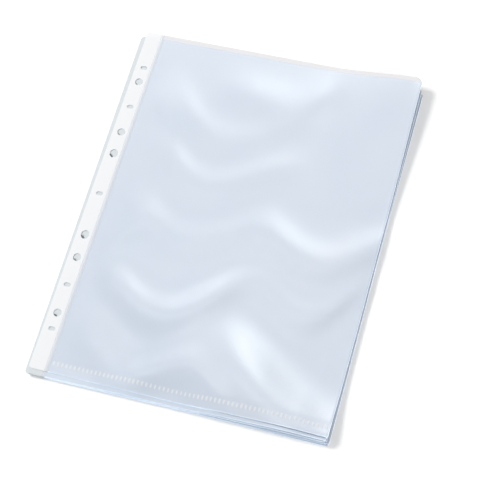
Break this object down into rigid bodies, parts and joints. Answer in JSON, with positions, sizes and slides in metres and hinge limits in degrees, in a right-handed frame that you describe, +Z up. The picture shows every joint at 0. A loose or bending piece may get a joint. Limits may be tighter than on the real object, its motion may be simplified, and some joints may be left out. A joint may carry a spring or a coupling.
{
  "type": "document sleeve",
  "caption": "Loose stack of clear film document sleeves, each with a punched ring binder strip, a crimped foot weld, a folded side and an open mouth.",
  "frame": {"origin": "under the middle of the stack's outline, on the surface that it lies on", "axes": "+Z up, +Y along the long side from the welded foot to the open mouth, +X from the punched strip to the folded side"},
  "size_m": [0.2406, 0.3096, 0.0157],
  "materials": {
    "clear_film": "clear polypropylene film, glossy, pale blue-grey where it lies in layers",
    "punched_strip": "milky white reinforced film, satin"
  },
  "bodies": {
    "sleeve_01": {"sleeve_01_punched_strip": "punched_strip", "sleeve_01_back_film": "clear_film", "sleeve_01_front_film": "clear_film"},
    "sleeve_02": {"sleeve_02_punched_strip": "punched_strip", "sleeve_02_back_film": "clear_film", "sleeve_02_front_film": "clear_film"},
    "sleeve_03": {"sleeve_03_punched_strip": "punched_strip", "sleeve_03_back_film": "clear_film", "sleeve_03_front_film": "clear_film"},
    "sleeve_04": {"sleeve_04_punched_strip": "punched_strip", "sleeve_04_back_film": "clear_film", "sleeve_04_front_film": "clear_film"},
    "sleeve_05": {"sleeve_05_punched_strip": "punched_strip", "sleeve_05_back_film": "clear_film", "sleeve_05_front_film": "clear_film"},
    "sleeve_06": {"sleeve_06_punched_strip": "punched_strip", "sleeve_06_back_film": "clear_film", "sleeve_06_front_film": "clear_film"},
    "sleeve_07": {"sleeve_07_punched_strip": "punched_strip", "sleeve_07_back_film": "clear_film", "sleeve_07_front_film": "clear_film"},
    "sleeve_08": {"sleeve_08_punched_strip": "punched_strip", "sleeve_08_back_film": "clear_film", "sleeve_08_front_film": "clear_film"},
    "sleeve_09": {"sleeve_09_punched_strip": "punched_strip", "sleeve_09_back_film": "clear_film", "sleeve_09_front_film": "clear_film"},
    "sleeve_10": {"sleeve_10_punched_strip": "punched_strip"},
    "sleeve_10_pocket": {"sleeve_10_back_film": "clear_film", "sleeve_10_front_film": "clear_film"}
  },
  "joints": [
    {"name": "sleeve_02_lift", "type": "slide", "parent": "sleeve_01", "child": "sleeve_02", "axis": [0, 0, 1], "range_m": [0, 0.03]},
    {"name": "sleeve_03_lift", "type": "slide", "parent": "sleeve_02", "child": "sleeve_03", "axis": [0, 0, 1], "range_m": [0, 0.03]},
    {"name": "sleeve_04_lift", "type": "slide", "parent": "sleeve_03", "child": "sleeve_04", "axis": [0, 0, 1], "range_m": [0, 0.03]},
    {"name": "sleeve_05_lift", "type": "slide", "parent": "sleeve_04", "child": "sleeve_05", "axis": [0, 0, 1], "range_m": [0, 0.03]},
    {"name": "sleeve_06_lift", "type": "slide", "parent": "sleeve_05", "child": "sleeve_06", "axis": [0, 0, 1], "range_m": [0, 0.03]},
    {"name": "sleeve_07_lift", "type": "slide", "parent": "sleeve_06", "child": "sleeve_07", "axis": [0, 0, 1], "range_m": [0, 0.03]},
    {"name": "sleeve_08_lift", "type": "slide", "parent": "sleeve_07", "child": "sleeve_08", "axis": [0, 0, 1], "range_m": [0, 0.03]},
    {"name": "sleeve_09_lift", "type": "slide", "parent": "sleeve_08", "child": "sleeve_09", "axis": [0, 0, 1], "range_m": [0, 0.03]},
    {"name": "sleeve_10_lift", "type": "slide", "parent": "sleeve_09", "child": "sleeve_10", "axis": [0, 0, 1], "range_m": [0, 0.03]},
    {"name": "sleeve_10_page_turn", "type": "hinge", "parent": "sleeve_10", "child": "sleeve_10_pocket", "pos_m": [-0.1021, 0, 0.0067], "axis": [0, -1, 0], "range_deg": [0, 175]}
  ]
}
